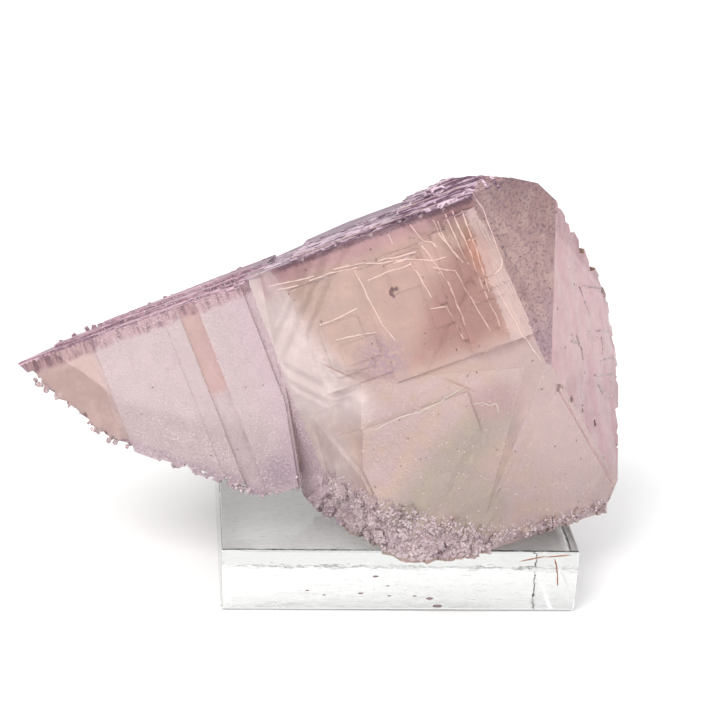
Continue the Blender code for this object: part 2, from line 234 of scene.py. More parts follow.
class GrainLook(bpy.types.PropertyGroup):
    """Small cubes of the crust, grains, flecks, lines and ledges"""
    cube_size: length("Cube size", "Side of the largest cubes of the crust", 0.38)
    ledge_width: length("Ledge width", "Width of the ledges on the top", 0.7)
    line_width: length("Line width", "Width of the growth lines", 0.34)
    sparkle_size: length("Sparkle size", "Side of the largest grains on the frosted faces", 0.16)
    sparkle_density: amount("Sparkle density", "Grains per square metre", 5.0e6)
    cube_density: amount("Cube density", "Cubes per square metre of crust", 2.0e7)
    fleck_size: length("Fleck size", "Width of the largest dark flecks", 0.5)
    fleck_density: amount("Fleck density", "Flecks per square metre", 1.2e5)
    cube_colour: colour("Cube colour", "Darker colour of the crust", (0.6, 0.46, 0.5))
    cube_light: colour("Cube light", "Lighter colour of the crust", (0.78, 0.64, 0.67))
    frost_colour: colour("Frost colour", "Colour of grains on frosted faces", (0.64, 0.53, 0.54))
    fleck_colour: colour("Fleck colour", "Darkest colour of the flecks", (0.09, 0.05, 0.05))
    fleck_light: colour("Fleck light", "Lightest colour of the flecks", (0.2, 0.11, 0.12))


class BaseLook(bpy.types.PropertyGroup):
    """Finish of the acrylic base"""
    tint: colour("Tint", "Tint of the acrylic", (0.97, 0.985, 0.965))
    density: amount("Density", "Absorption per metre", 14)
    wear: amount("Wear", "Roughness of the scratched places", 0.25, max=1)
    speck: colour("Speck", "Colour of the specks on the front", (0.2, 0.14, 0.16))
    rust: colour("Rust", "Colour of the scratches at the right", (0.26, 0.1, 0.05))


class StudioLook(bpy.types.PropertyGroup):
    """Floor, backdrop and lights"""
    floor: colour("Floor", "Colour of the floor", (0.92, 0.92, 0.92))
    sky: amount("Sky", "Strength of the soft sky", 0.8)
    key: amount("Key", "Power of the key light", 9, subtype="POWER")
    fill: amount("Fill", "Power of the fill light", 3, subtype="POWER")


# ---------------- nodes

# The sockets of a colour Mix node: its factor and its two colours.
MIX_COLOURS = (0, 6, 7)


class Value:
    """A number socket of a material. Operators on it add Math nodes."""

    def __init__(self, shader, socket):
        self.shader, self.socket = shader, socket

    def maths(self, operation, *numbers):
        return self.shader.number("ShaderNodeMath", {"operation": operation}, *numbers)

    def __add__(self, other):
        return self.maths("ADD", self, other)

    def __sub__(self, other):
        return self.maths("SUBTRACT", self, other)

    def __rsub__(self, other):
        return self.maths("SUBTRACT", other, self)

    def __mul__(self, other):
        return self.maths("MULTIPLY", self, other)

    __radd__ = __add__
    __rmul__ = __mul__

    def floor(self):
        return self.maths("FLOOR", self)

    def size(self):
        return self.maths("ABSOLUTE", self)

    def clipped(self):
        """The same number, held between 0 and 1."""
        settings = {"operation": "ADD", "use_clamp": True}
        return self.shader.number("ShaderNodeMath", settings, self, 0.0)

    def ramp(self, start, end):
        """0 at start and 1 at end, smooth between."""
        settings = {"interpolation_type": "SMOOTHSTEP"}
        return self.shader.number("ShaderNodeMapRange", settings, self, start, end)


class NodeTree:
    """Adds nodes to a tree."""

    def __init__(self, tree):
        self.tree = tree

    def node(self, kind, settings=None, *values, **named):
        """A node with its settings, then its sockets in order or by name."""
        node = self.tree.nodes.new(kind)
        for name, setting in (settings or {}).items():
            setattr(node, name, setting)
        sockets = [socket for socket in node.inputs if socket.enabled]
        pairs = list(zip(sockets, values))
        pairs += [(next(s for s in sockets if s.name == name.replace("_", " ")), value)
                  for name, value in named.items()]
        for socket, value in pairs:
            self.feed(socket, value)
        return node

    def feed(self, socket, value):
        if isinstance(value, Value):
            value = value.socket
        if isinstance(value, bpy.types.NodeSocket):
            self.tree.links.new(value, socket)
        elif value is not None:
            if socket.type == "RGBA" and len(value) == 3:
                value = (*value, 1.0)
            socket.default_value = value


class Shader(NodeTree):
    """Builds one material."""

    def __init__(self, name):
        self.material = bpy.data.materials.new(name)
        self.material.use_nodes = True
        super().__init__(self.material.node_tree)
        self.tree.nodes.clear()

    def number(self, kind, settings, *values, out=0):
        return Value(self, self.node(kind, settings, *values).outputs[out])

    def attribute(self, name):
        node = self.node("ShaderNodeAttribute", {"attribute_name": name})
        return Value(self, node.outputs["Fac"])

    def object_place(self):
        return self.node("ShaderNodeTexCoord").outputs["Object"]

    def crystal_place(self):
        """The place in the cube axes, in millimetres."""
        place = cube_axes()
        node = self.node("ShaderNodeMapping", {"vector_type": "TEXTURE"}, self.object_place(),
                         place.translation, place.to_euler(), (MM, MM, MM))
        return node.outputs[0]

    def split(self, vector):
        node = self.node("ShaderNodeSeparateXYZ", None, vector)
        return [Value(self, node.outputs[axis]) for axis in "XYZ"]

    def joined(self, x, y, z):
        return self.node("ShaderNodeCombineXYZ", None, x, y, z).outputs[0]

    def vector(self, operation, first, second):
        settings = {"operation": operation}
        return self.node("ShaderNodeVectorMath", settings, first, second).outputs[0]

    def scaled(self, vector, factors):
        return self.vector("MULTIPLY", vector, factors)

    def noise(self, vector, scale, detail=2.0, roughness=0.5):
        node = self.node("ShaderNodeTexNoise", None, Vector=vector, Scale=scale, Detail=detail,
                         Roughness=roughness)
        return Value(self, node.outputs["Fac"])

    def cells(self, vector, scale):
        """Square-cornered distance to the nearest of many points."""
        settings = {"distance": "CHEBYCHEV"}
        node = self.node("ShaderNodeTexVoronoi", settings, Vector=vector, Scale=scale)
        return Value(self, node.outputs["Distance"])

    def mix(self, factor, first, second):
        node = self.node("ShaderNodeMix", {"data_type": "RGBA"})
        for index, value in zip(MIX_COLOURS, (factor, first, second)):
            self.feed(node.inputs[index], value)
        return node.outputs[2]

    def layered(self, tone, *layers):
        """A tone with colours laid over it, one after another, each by its own factor."""
        for factor, colour in layers:
            tone = self.mix(factor, tone, colour)
        return tone

    def spot(self, place, centre, reach):
        """A soft patch: 1 well within its reach of a centre, 0 well outside it."""
        offset = self.vector("SUBTRACT", place, centre)
        shrunk = self.vector("DIVIDE", offset, reach)
        far = self.number("ShaderNodeVectorMath", {"operation": "LENGTH"}, shrunk, out=1)
        return far.ramp(1.6, 0.4)

    def bump(self, height, distance):
        return self.node("ShaderNodeBump", None, Distance=distance, Height=height).outputs[0]

    def principled(self, **values):
        return self.node("ShaderNodeBsdfPrincipled", None, **values).outputs[0]

    def plain(self, tone, roughness, ior=1.5):
        return self.finish(self.principled(Base_Color=tone, Roughness=roughness, IOR=ior))

    def mixed(self, factor, first, second):
        return self.node("ShaderNodeMixShader", None, factor, first, second).outputs[0]

    def absorbing(self, tint, density):
        return self.node("ShaderNodeVolumeAbsorption", None, tint, density).outputs[0]

    def finish(self, surface, volume=None):
        self.node("ShaderNodeOutputMaterial", None, surface, volume)
        return self.material


# ---------------- materials

def front_tone(s, look, place, noises):
    """The broad front: peach above, beige and grey-green below, and a painted highlight in white
    towards the left edge.
    """
    x, y, z = s.split(place)
    broad, cloud, grain = noises
    waver = (broad - 0.5) * 5 + (cloud - 0.5) * 3
    wavy_z = z + waver

    # The brownish inner zone, the rose and purple layers under the rim, and single patches.
    phantom = (x - z * 0.8 + waver).ramp(2, 7.5) * wavy_z.ramp(-6, -1)
    phantom = phantom * wavy_z.ramp(12.5, 8.5) * (x + waver * 0.3).ramp(18.5, 15)
    cool_patch = s.spot(place, (-1.2, -18, -1.4), (3.2, 8, 3.4)) * grain.ramp(0.35, 0.6)
    upper = s.layered(
        s.mix(x.ramp(-6, 8) * 0.5 + cloud.ramp(0.35, 0.7) * 0.3, look.beige, look.peach),
        (phantom * 0.85, look.brown),
        (s.spot(place, (16.6, -18, 8.4), (1.5, 6, 3.6)) * 0.85, look.orange),
        ((z + waver * 0.2).ramp(12.2, 14.6) * 0.75, look.rose),
        ((z + (grain - 0.5) * 0.9).ramp(14.7, 15.4) * 0.8, look.purple),
        (cool_patch * 0.8, look.lilac),
        (s.spot(place, (18.4, -18, -6.9), (1, 4, 1.5)) * 0.9, look.orange))

    band = x * 0.55 - z - 20 + waver * 0.3
    lower = s.layered(
        s.mix(cloud.ramp(0.35, 0.65), look.pale, look.beige),
        (band.ramp(-6, -1) * band.ramp(5, 1) * 0.6, look.green),
        (s.spot(place, (4.4, -20.5, -25.3), (4.5, 8, 4)) * 0.6, look.green),
        # Painted light: a soft patch of the glare colour lightens the lower left, which faces away
        # from the lamps.
        (s.spot(place, (-13.5, -16, -13), (3.5, 9, 4.5)) * 0.7, look.glare),
        (x.ramp(12, 16) * 0.7, look.pale),
        (s.spot(place, (11.5, -18, -12), (3.4, 6, 2.6)) * 0.5, look.rose))

    # Painted highlight: the glare colour laid towards the left edge stands in for the lamps'
    # reflection on the left facet.
    painted_left_glare = (x * -1 + z * 0.35 * -1 + waver * 0.3).ramp(4.5, 9.5)
    painted_left_glare = painted_left_glare * (z + waver * 0.3).ramp(-11, -5)
    return s.layered(
        s.mix((z + waver * 0.5).ramp(-6.5, -3), lower, upper),
        (painted_left_glare * 0.85, look.glare),
        (s.spot(place, (-12.6, -17, 14.6), (2.2, 6, 2.6)) * 0.6, look.rose),
        *((slash(x, z, *crack) * 0.55, look.brown) for crack in SLASHES))


def slash(x, z, start, end, width):
    """A thin dark crack between two places on the front, tapered at its ends."""
    (x0, z0), (x1, z1) = start, end
    reach = math.hypot(x1 - x0, z1 - z0)
    ux, uz = (x1 - x0) / reach, (z1 - z0) / reach
    along = (x - x0) * ux + (z - z0) * uz
    across = ((x - x0) * uz - (z - z0) * ux).size()
    taper = along.ramp(0, reach * 0.4) * along.ramp(reach, reach * 0.6)
    return across.ramp(width, width * 0.3) * taper


def plate_tone(s, look, place, noises):
    """The plate: a smooth tip, frosted panels, a smooth band, and grain along its rims."""
    x, _, z = s.split(place)
    _, cloud, grain = noises
    waver = (cloud - 0.5) * 3
    past_tip = x.ramp(-41, TIP_END)
    band = (x + grain * 0.3).ramp(-26.6, -26.3) * (x - grain * 0.3).ramp(-23.7, -24.1)
    band = band * z.ramp(0.5, 2.5)
    marks = (s.cells(s.scaled(place, (1, 0.1, 0.7)), 0.4) - 0.3).size().ramp(0.07, 0.02)
    marks = marks * cloud.ramp(0.52, 0.6)
    patch = s.spot(place, (-21.2, -13.6, -12.2), (2.6, 6, 2.6)) * grain.ramp(0.3, 0.5)

    streaks = s.noise(s.scaled(place, (1.3, 0.2, 0.35)), 1, 2, 0.75)
    rim = (z + waver * 0.5).ramp(12.9, 13.8)
    steep, gentle = -1.82 * (x + 50.6) + 14, -0.834 * (x + 43.5) + 1.1
    ragged = steep.maths("MAXIMUM", steep, gentle)
    low_rim = (z - ragged + waver * 0.6).ramp(2.4, 0.8) * grain.ramp(0.35, 0.55)
    tone = s.layered(
        s.mix(past_tip, look.tip, look.frost),
        (band * 0.9, look.band),
        (x.ramp(-21.5, -17.5) * 0.5, look.lavender),
        (marks * 0.25, look.lilac),
        (patch * 0.7, look.lilac),
        ((z + waver).ramp(-4, -10) * 0.15, look.lilac),
        (rim * 0.7, look.rose),
        (rim * streaks.ramp(0.42, 0.66) * 0.65, look.purple),
        (rim * streaks.ramp(0.42, 0.32) * 0.6, look.lavender),
        (low_rim * 0.65, look.lilac))
    return tone, (1 - band) * past_tip


def top_tone(s, look, place, noises):
    """The zoned layers along the top: dark purple and pale lilac stripes that follow the rim."""
    x, y, z = s.split(place)
    _, cloud, grain = noises
    wavy = s.joined(x, y + cloud * 2.5, z + cloud * 0.8)
    striped = s.noise(s.scaled(wavy, (0.1, 0.6, 2.6)), 1, 2, 0.8)
    near_rim = (y + (cloud - 0.5) * 4).ramp(-7, -12)
    return s.layered(
        s.mix(striped.ramp(0.42, 0.58) * 0.7 + 0.15, look.purple, look.lavender),
        ((y + cloud * 3).ramp(-9, -2) * 0.5, look.purple),
        (near_rim * 0.9, s.mix(striped.ramp(0.5, 0.56), look.purple, look.lavender)),
        (grain.ramp(0.45, 0.7) * 0.35, look.purple),
        (x.ramp(-14, -18) * grain.ramp(0.6, 0.4) * 0.6, look.rose))


def bevel_tone(s, look, place, noises):
    """The bevel: taupe, purple towards its upper edge, grey-blue below, full of dark specks."""
    z = s.split(place)[2]
    _, cloud, _ = noises
    wavy_z = z + (cloud - 0.5) * 8
    speckle = s.noise(s.scaled(place, (1, 1, 1.7)), 1.5, 2, 0.75).ramp(0.48, 0.62)
    return s.layered(
        s.mix(wavy_z.ramp(11, 16) * 0.3, look.taupe, look.purple),
        (wavy_z.ramp(1, -6) * 0.5, look.lilac),
        (cloud.ramp(0.45, 0.65) * 0.35, look.beige),
        (speckle * 0.65, look.purple))


def side_tones(s, look, place, noises):
    """The right face, smooth pink and slightly streaked upwards, and the paler back."""
    y = s.split(place)[1]
    broad, cloud, grain = noises
    streak = s.noise(s.scaled(place, (0.15, 0.4, 0.15)), 1, 1)
    right = s.layered(
        s.mix(streak.ramp(0.35, 0.65) * 0.5, look.pink, look.pale),
        (y.ramp(3, 9) * grain.ramp(0.5, 0.68) * 0.5, look.lilac))
    back = s.layered(
        s.mix(cloud.ramp(0.3, 0.7) * 0.4 + broad * 0.3, look.pale, look.frost),
        (broad.ramp(0.5, 0.7) * 0.3, look.lilac))
    return right, back


def crystal_material(look):
    s = Shader("fluorite_crystal")
    place = s.crystal_place()
    on = {name: s.attribute(name) for name in KINDS}
    broad = s.noise(place, 0.11, 1)
    cloud = s.noise(place, 0.35, 2, 0.6)
    grain = s.noise(place, 2.4, 2, 0.7)
    fine = s.noise(place, 6, 1, 0.6)
    noises = broad, cloud, grain

    plate, frosted_panels = plate_tone(s, look, place, noises)
    right, back = side_tones(s, look, place, noises)
    frosted = on["plate"] * frosted_panels * 0.9 + on["lower"] * 0.55
    frosted = (frosted + on["bevel"] * 0.7 + on["top"] * 0.8).clipped()
    # Walls of the steps get a painted highlight in the glare colour, and a faint mottling goes
    # over all.
    tone = s.layered(
        front_tone(s, look, place, noises),
        (on["plate"], plate),
        (on["top"] * 0.97, top_tone(s, look, place, noises)),
        (on["bevel"], bevel_tone(s, look, place, noises)),
        (on["right"], right),
        (on["back"], back),
        (on["riser"] * 0.35, look.glare),
        (fine.ramp(0.35, 0.75) * 0.1, look.purple),
        (frosted * (fine * 0.5 + grain * 0.5).ramp(0.35, 0.6) * 0.16, look.lilac))

    square = s.cells(s.scaled(place, (1, 0.25, 1)), 0.2)
    terrace = (square * 8 + broad * 1.2).floor() * 0.1
    etched = s.cells(place, 2.4) * 0.5 + fine * 0.5 + grain
    height = terrace * on["upper_front"] * 0.6 + etched * frosted * 0.9 + grain * 0.08
    finish = {"Roughness": (0.12 + frosted * 0.28 + grain * 0.08).clipped(), "IOR": FLUORITE_IOR,
              "Normal": s.bump(height, 0.14 * MM)}

    clear = s.principled(Base_Color=s.mix(0.2, tone, WHITE), Transmission_Weight=1, **finish)
    cloudy = s.principled(Base_Color=tone, Specular_IOR_Level=0.25, **finish)
    cloudiness = 0.46 + frosted * 0.2 + cloud.ramp(0.4, 0.75) * 0.12 + on["top"] * 0.4
    surface = s.mixed(cloudiness.clipped(), clear, cloudy)
    return s.finish(surface, s.absorbing(look.absorption, look.density))


def line_material(look):
    s = Shader("growth_lines")
    place = s.crystal_place()
    noises = [s.noise(place, scale, 3) for scale in (0.11, 0.35, 2.4)]
    x, _, z = s.split(place)
    grained = noises[2].ramp(0.35, 0.6)
    tone = s.layered(
        front_tone(s, look, place, noises),
        # Painted highlight: the paler tone laid over the ridges lightens them like edges that
        # catch the light.
        (grained * 0.3 + 0.25, look.pale),
        (z.ramp(-7, -9) * x.ramp(20, 18) * 0.5, look.green),
        (x.ramp(20, 22) * grained * 0.8, look.purple))
    return s.plain(tone, 0.3, FLUORITE_IOR)


def ledge_material(look):
    s = Shader("top_ledges")
    place = s.crystal_place()
    x = s.split(place)[0]
    streak = s.noise(s.scaled(place, (0.12, 1.4, 1.4)), 1, 3, 0.7)
    tone = s.layered(
        s.mix(streak.ramp(0.44, 0.56), look.purple, look.lavender),
        (x.ramp(-12, -18) * 0.5, look.rose))
    return s.plain(tone, 0.3, FLUORITE_IOR)


def frost_material(look):
    return Shader("frost_grains").plain(look.frost_colour, 0.3, FLUORITE_IOR)


def cube_material(look):
    s = Shader("crust_cubes")
    tint = s.noise(s.crystal_place(), 0.7, 2)
    tone = s.mix(tint.ramp(0.35, 0.65), look.cube_colour, look.cube_light)
    clear = s.principled(Base_Color=s.mix(0.4, tone, WHITE), Roughness=0.12, IOR=FLUORITE_IOR,
                         Transmission_Weight=1)
    cloudy = s.principled(Base_Color=tone, Roughness=0.25, IOR=FLUORITE_IOR)
    return s.finish(s.mixed(0.6, clear, cloudy))


def fleck_material(look, name="dark_flecks"):
    s = Shader(name)
    tint = s.noise(s.crystal_place(), 1.3, 2)
    return s.plain(s.mix(tint.ramp(0.3, 0.7), look.fleck_colour, look.fleck_light), 0.55)


def acrylic_material(look):
    s = Shader("clear_acrylic")
    place = s.scaled(s.object_place(), (1 / MM,) * 3)
    smear = s.noise(place, 0.12, 3).ramp(0.48, 0.72)
    scratch = s.noise(s.scaled(place, (0.5, 9, 4)), 1, 2).ramp(0.66, 0.7)
    surface = s.principled(Base_Color=WHITE, Roughness=0.015 + smear * 0.06 + scratch * look.wear,
                           IOR=ACRYLIC_IOR, Transmission_Weight=1,
                           Normal=s.bump(s.noise(place, 0.4, 2) + scratch * 0.2, 0.02 * MM))
    return s.finish(surface, s.absorbing(look.tint, look.density))


def marks_material(look):
    """Dark specks, and rust towards the right, where the scratches are."""
    s = Shader("base_marks")
    x = s.split(s.scaled(s.object_place(), (1 / MM,) * 3))[0]
    return s.plain(s.mix(x.ramp(15, 17), look.speck, look.rust), 0.5)


def floor_material(look):
    return Shader("studio_floor").plain(look.floor, 0.7)


# ---------------- crystal mesh

def placed(name, data):
    """A new object of the scene."""
    thing = bpy.data.objects.new(name, data)
    bpy.context.scene.collection.objects.link(thing)
    return thing


def plain_mesh(name, shape, material=None):
    mesh = bpy.data.meshes.new(name)
    shape.to_mesh(mesh)
    shape.free()
    if material:
        mesh.materials.append(material)
    return mesh


def seen_from_heart(points):
    """Points of the frame as places in the cube axes, in millimetres."""
    return (points - np.array(HEART)) @ np.array(cube_axes().to_3x3()) / MM


def merged_copy(node):
    """The node's solid as one joined mesh with whole flat faces."""
    shape = bmesh.new()
    shape.from_mesh(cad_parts[node].data)
    bmesh.ops.remove_doubles(shape, verts=shape.verts, dist=MERGE_DISTANCE)
    bmesh.ops.dissolve_limit(shape, angle_limit=math.radians(SOLID_FLAT), verts=shape.verts,
                             edges=shape.edges)
    return shape


def refine(shape, longest):
    """Halves long edges, a few times over, further on the front, and ends in triangles."""
    def into_triangles():
        bmesh.ops.triangulate(shape, faces=[face for face in shape.faces if len(face.verts) > 3])

    for _ in range(REFINING_PASSES):
        into_triangles()
        shape.normal_update()
        long_edges = []
        for edge in shape.edges:
            front = any(face.normal.y < FRONT_FACING for face in edge.link_faces)
            if edge.calc_length() > longest * (FRONT_SHARE if front else 1.0):
                long_edges.append(edge)
        bmesh.ops.subdivide_edges(shape, edges=long_edges, cuts=1)
    into_triangles()


def mesh_arrays(mesh):
    """Vertex places, face corners, face normals and centres, in the frame."""
    places = np.empty(len(mesh.vertices) * 3)
    mesh.vertices.foreach_get("co", places)
    corners = np.empty(len(mesh.polygons) * 3, int)
    mesh.polygons.foreach_get("vertices", corners)
    places, corners = places.reshape(-1, 3), corners.reshape(-1, 3)
    a, b, c = (places[corners[:, k]] for k in range(3))
    normals = np.cross(b - a, c - a)
    normals /= np.maximum(np.linalg.norm(normals, axis=1), 1e-15)[:, None]
    return places, corners, normals, (a + b + c) / 3


def face_kinds(normals, centres):
    """Which face of the crystal each small face belongs to: a share for each kind."""
    directions = normals @ np.array(cube_axes().to_3x3())
    places = seen_from_heart(centres)
    x, y, z = places.T
    _, inward, upward = directions.T

    def lies_on(name):
        direction, distance = FACES[name]
        direction = np.array(direction) / np.linalg.norm(direction)
        near = np.abs(places @ direction - distance) < FACE_SLACK
        return near & (directions @ direction > SAME_DIRECTION)

    on_plate = x < PLATE_RIGHT
    kinds = {
        "plate": on_plate & (inward < PLATE_FACING) & (y > PLATE_BACK),
        "upper_front": lies_on("upper_front"),
        "lower": lies_on("lower_front") | lies_on("slope") | lies_on("right_foot"),
        "bevel": lies_on("bevel"),
        "right": lies_on("right"),
        "top": (upward > TOP_FACING) & (z > TOP_FACE) | (z > RIM_TOP) | on_plate & (z > PLATE_TOP),
        "back": inward > BACK_FACING,
    }
    stairs = (x > STAIRS[0]) & (y < STAIRS[1])
    kinds["riser"] = (x > WALLS[0]) & (y < WALLS[1]) & (z > WALLS[2])
    for name, mask in kinds.items():
        if name != "riser":
            mask &= ~stairs
            kinds["riser"] &= ~mask
    return {name: mask.astype(np.float32) for name, mask in kinds.items()}


def lift_relief(mesh, look):
    """Raises hillocks and grain on the flat faces and leaves their edges where they are."""
    places, corners, normals, centres = mesh_arrays(mesh)
    kinds = face_kinds(normals, centres)
    on_face = sum(kinds[name] for name in KINDS if name != "riser")
    on_frost = np.maximum(kinds["plate"], kinds["lower"])
    lean = np.zeros_like(places)
    for corner in corners.T:
        np.add.at(lean, corner, normals)
    lean /= np.maximum(np.linalg.norm(lean, axis=1), 1e-12)[:, None]
    least = np.ones(len(places))
    frosted, broad, lift = np.zeros((3, len(places)))
    for corner in corners.T:
        np.minimum.at(least, corner, np.einsum("ij,ij->i", normals, lean[corner]))
        np.maximum.at(frosted, corner, on_frost)
        np.maximum.at(broad, corner, on_face)
    flat = (least > math.cos(math.radians(MESH_FLAT))) & (broad > 0)
    back = cube_axes().inverted()
    for n in np.flatnonzero(flat):
        at = back @ Vector(places[n]) / MM
        hillock = noise.noise(at * HILLOCK_SCALE) + 0.5 * noise.noise(at * KNOLL_SCALE)
        grain = (SMOOTH_SHARE + frosted[n]) * noise.noise(at * GRAIN_SCALE)
        lift[n] = look.hillock_height * hillock + look.frost_height * grain
    places += lean * lift[:, None]
    mesh.vertices.foreach_set("co", places.ravel())
    return kinds


def build_crystal(look):
    shape = merged_copy("fluorite")
    refine(shape, look.mesh_size)
    mesh = plain_mesh("fluorite_crystal", shape)
    for name, mask in lift_relief(mesh, look).items():
        mesh.attributes.new(name, "FLOAT", "FACE").data.foreach_set("value", mask)
    mesh.shade_smooth()
    mesh.set_sharp_from_angle(angle=math.radians(SHARP))
    mesh.materials.append(crystal_material(look))
    mesh.update()
    return placed("fluorite_crystal", mesh)


# ---------------- scattered grains

class ShapeTree(NodeTree):
    """A Geometry Nodes tree with one geometry in and out and named numbers in."""

    def __init__(self, name, **inputs):
        super().__init__(bpy.data.node_groups.new(name, "GeometryNodeTree"))
        face = self.tree.interface
        for label, kind in {"Geometry": "Geometry", **inputs}.items():
            face.new_socket(label, in_out="INPUT", socket_type="NodeSocket" + kind)
        face.new_socket("Geometry", in_out="OUTPUT", socket_type="NodeSocketGeometry")
        self.given = self.node("NodeGroupInput").outputs

    def product(self, first, second):
        return self.node("ShaderNodeMath", {"operation": "MULTIPLY"}, first, second).outputs[0]

    def finish(self, geometry, material):
        whole = self.node("GeometryNodeRealizeInstances", None, Geometry=geometry)
        done = self.node("GeometryNodeSetMaterial", None, Geometry=whole.outputs[0],
                         Material=material)
        self.node("NodeGroupOutput", None, Geometry=done.outputs[0])
        return self.tree


def made_plain(thing, tree, **inputs):
    """The object with its tree run, as a plain mesh object of the same name."""
    modifier = thing.modifiers.new("Nodes", "NODES")
    modifier.node_group = tree
    for socket in tree.interface.items_tree:
        if socket.in_out == "INPUT" and socket.name in inputs:
            modifier[socket.identifier] = inputs[socket.name]
    graph = bpy.context.evaluated_depsgraph_get()
    mesh = bpy.data.meshes.new_from_object(thing.evaluated_get(graph))
    name = thing.name
    bpy.data.objects.remove(thing)
    mesh.name = name
    return placed(name, mesh)


def scatter_tree(name, made_by, material):
    """A tree that sets many small shapes on faces, weighted by an attribute."""
    tree = ShapeTree(name, Density="Float", Smallest="Float", Largest="Float", Depth="Float",
                     Seed="Int")
    node, given = tree.node, tree.given
    weight = node("GeometryNodeInputNamedAttribute", {"data_type": "FLOAT"}, Name="strewn")
    points = node("GeometryNodeDistributePointsOnFaces", {"distribute_method": "RANDOM"},
                  Mesh=given["Geometry"], Seed=given["Seed"],
                  Density=tree.product(given["Density"], weight.outputs["Attribute"]))
    turn = node("FunctionNodeRandomValue", {"data_type": "FLOAT_VECTOR"}, Min=(-3.1, -3.1, -3.1),
                Max=(3.1, 3.1, 3.1), Seed=given["Seed"])
    size = node("FunctionNodeRandomValue", {"data_type": "FLOAT"}, Min=given["Smallest"],
                Max=given["Largest"], Seed=given["Seed"])
    sunk = node("ShaderNodeVectorMath", {"operation": "SCALE"}, Vector=points.outputs["Normal"],
                Scale=given["Depth"])
    moved = node("GeometryNodeSetPosition", None, Geometry=points.outputs["Points"],
                 Offset=sunk.outputs[0])
    copies = node("GeometryNodeInstanceOnPoints", None, Points=moved.outputs[0],
                  Instance=made_by(node), Rotation=turn.outputs[0], Scale=size.outputs["Value"])
    return tree.finish(copies.outputs[0], material)


def scattered(crystal, name, weights, made_by, material, density, largest, spread, depth, seed):
    """Small shapes strewn on the crystal by the weights of its faces, as one plain mesh. Spread is
    the smallest one's share of the largest one's size."""
    ground = crystal.data.copy()
    ground.attributes.new("strewn", "FLOAT", "FACE").data.foreach_set("value", weights)
    return made_plain(placed(name, ground), scatter_tree(name, made_by, material), Density=density,
                      Smallest=largest * spread, Largest=largest, Depth=depth, Seed=seed)


def surface_tree(crystal):
    shape = bmesh.new()
    shape.from_mesh(crystal.data)
    tree = BVHTree.FromBMesh(shape)
    shape.free()
    return tree


def surface_point(tree, start, direction, sunk):
    """Where a ray from a place in the cube axes meets the crystal, a little below its face."""
    axes = cube_axes()
    onward = (axes.to_3x3() @ Vector(direction)).normalized()
    hit = tree.ray_cast(axes @ (Vector(start) * MM), onward)[0]
    return None if hit is None else hit + onward * sunk


def front_point(tree, x, z, sunk):
    return surface_point(tree, (x, -OUTSIDE, z), (0, 1, 0), sunk)


def close_points(line, step):
    """Points along a line of (x, z) corners, no further apart than the step."""
    points = []
    for (x0, z0), (x1, z1) in zip(line, line[1:]):
        count = max(1, math.ceil(math.hypot(x1 - x0, z1 - z0) / step))
        points += [(x0 + (x1 - x0) * n / count, z0 + (z1 - z0) * n / count) for n in range(count)]
    return points + [line[-1]]


def wandered(x, z):
    """The place moved a little off its line."""
    at = Vector((x, z, 0)) * WANDER_SCALE
    return x + noise.noise(at) * LINE_WANDER, z + noise.noise(at + WANDER_APART) * LINE_WANDER


def ridge_tree(name, material):
    """A tree that gives each line a thin, uneven ridge."""
    tree = ShapeTree(name, Radius="Float", Unevenness="Float")
    node, given = tree.node, tree.given
    wavy = node("ShaderNodeTexNoise", None, Scale=1300, Detail=2)
    width = node("ShaderNodeMapRange", None, Value=wavy.outputs["Fac"], From_Min=0.35,
                 From_Max=0.65, To_Min=given["Unevenness"], To_Max=1)
    radius = tree.product(given["Radius"], width.outputs[0])
    ring = node("GeometryNodeCurvePrimitiveCircle", None, Resolution=5, Radius=1)
    tube = node("GeometryNodeCurveToMesh", None, Curve=given["Geometry"],
                Profile_Curve=ring.outputs[0], Scale=radius, Fill_Caps=True)
    return tree.finish(tube.outputs[0], material)


def ridges(name, lines, material, width, unevenness):
    """Thin ridges along lines of places, as one plain mesh."""
    curve = bpy.data.curves.new(name, "CURVE")
    curve.dimensions = "3D"
    for line in lines:
        if len(line) < 2:
            continue
        spline = curve.splines.new("POLY")
        spline.points.add(len(line) - 1)
        for point, place in zip(spline.points, line):
            point.co = (*place, 1)
    return made_plain(placed(name, curve), ridge_tree(name, material), Radius=width / 2,
                      Unevenness=unevenness)


def build_growth_lines(crystal, look, colours):
    """The bright ridges on the upper front, at the rim and on the right face, as one mesh."""
    tree = surface_tree(crystal)
    lines = [close_points(((x0, z), (x1, z)), LINE_STEP) for z, x0, x1 in RIM_LINES]
    for line in GROWTH_LINES + NICKS:
        corners = list(zip(line[::2], line[1::2]))
        lines.append([wandered(x, z) for x, z in close_points(corners, LINE_STEP)])
    sunk = look.line_width * LINE_SUNK
    found = [[point for x, z in line if (point := front_point(tree, x, z, sunk)) is not None]
             for line in lines]
    return ridges("growth_lines", found, line_material(colours), look.line_width, LINE_UNEVENNESS)


def build_top_ledges(crystal, look, colours):
    """Long uneven ledges over the top."""
    tree = surface_tree(crystal)
    back = cube_axes().inverted()
    draw = random.Random(LEDGE_SEED)
    lines = []
    for _ in range(LEDGES):
        x, reach = draw.uniform(*LEDGE_STARTS), draw.uniform(*LEDGE_REACH)
        y = LEDGE_FRONT + (LEDGE_BACK - LEDGE_FRONT) * draw.random() ** LEDGE_CROWDING
        slant = draw.uniform(-LEDGE_SLANT, LEDGE_SLANT)
        sunk = look.ledge_width * LINE_SUNK
        line = []
        for step in range(int(reach / LINE_STEP)):
            along = step * LINE_STEP
            aside = slant * along + LEDGE_WANDER * noise.noise(Vector((x + along * 0.4, y, 0)))
            point = surface_point(tree, (x + along, y + aside, OUTSIDE), (0, 0, -1), sunk)
            if point is None or (back @ point).z < LEDGE_LOWEST * MM - sunk:
                break
            line.append(point)
        lines.append(line)
    return ridges("top_ledges", lines, ledge_material(colours), look.ledge_width, LEDGE_UNEVENNESS)


